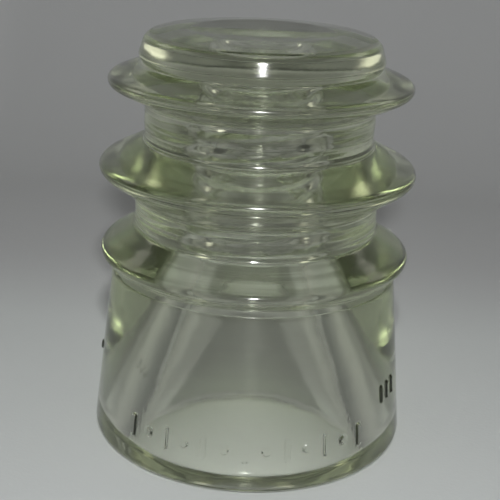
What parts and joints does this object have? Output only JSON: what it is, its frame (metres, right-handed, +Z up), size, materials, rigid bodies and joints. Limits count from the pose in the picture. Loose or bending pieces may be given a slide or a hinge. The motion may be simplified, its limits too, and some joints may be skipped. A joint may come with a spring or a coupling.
{
  "type": "pin insulator",
  "caption": "One-piece clear pressed-glass pin insulator with a dished crown, three drip flanges, two wire grooves, a skirt with a wide hollow, and a tapered threaded pin hole.",
  "frame": {"origin": "centre of the flat base ring, on the axis of the pin hole", "axes": "+Z up along the axis of the pin hole; -Y is the front, where the long row of raised marks is"},
  "size_m": [0.089, 0.089, 0.114],
  "materials": {
    "clear_glass": "clear pressed glass with a faint straw-green tint, fire-polished outside"
  },
  "bodies": {
    "root": {"glass_body": "clear_glass"}
  },
  "joints": []
}
